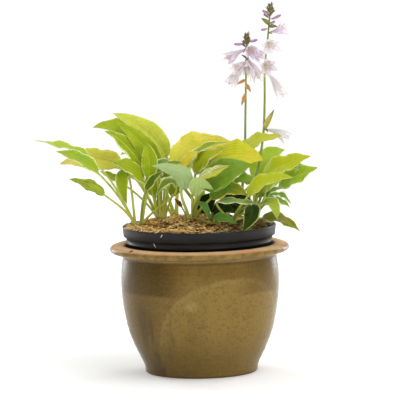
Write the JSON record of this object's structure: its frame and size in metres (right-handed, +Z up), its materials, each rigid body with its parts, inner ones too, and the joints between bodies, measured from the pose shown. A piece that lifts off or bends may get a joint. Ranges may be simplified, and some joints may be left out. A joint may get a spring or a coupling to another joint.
{
  "type": "potted hosta plant",
  "caption": "Hosta with broad stalked leaves and lilac flower scapes, in a black nursery pot set in a rimmed stoneware planter.",
  "frame": {"origin": "middle of the flat base of the stoneware pot, on the surface it stands on", "axes": "+Z up along the pots' axis; -Y towards the side seen in the picture, with the flower scapes on the +X side"},
  "size_m": [0.4203, 0.3022, 0.5495],
  "materials": {
    "glaze": "speckled olive-brown gloss glaze",
    "black_plastic": "satin black plastic with small scratches",
    "soil": "crumbly moist potting mix",
    "mulch": "dry bark and straw flakes",
    "leaf": "satin yellow-green leaf, some with pale margins",
    "scape": "smooth green stem with dark buds",
    "petal": "soft lilac to white petal"
  },
  "bodies": {
    "root": {"stoneware_pot": "glaze", "nursery_pot": "black_plastic", "potting_soil": "soil", "bark_mulch": "mulch", "shoot_left": "leaf", "shoot_centre_left": "leaf", "shoot_centre": "leaf", "shoot_right": "leaf", "shoot_right_back": "leaf", "shoot_back_left": "leaf", "shoot_back_centre": "leaf", "shoot_back_right": "leaf", "scape_left": "scape", "scape_right": "scape", "flower_lilac_side": "petal", "flower_lilac_front": "petal", "flower_pale_front": "petal", "flower_pale_low_left": "petal", "flower_pale_low_middle": "petal", "flower_pale_low_right": "petal", "flower_lilac_top": "petal", "flower_white_front": "petal", "flower_lilac_middle": "petal", "flower_pink_front": "petal", "flower_hanging": "petal", "flower_wilted": "petal"}
  },
  "joints": []
}
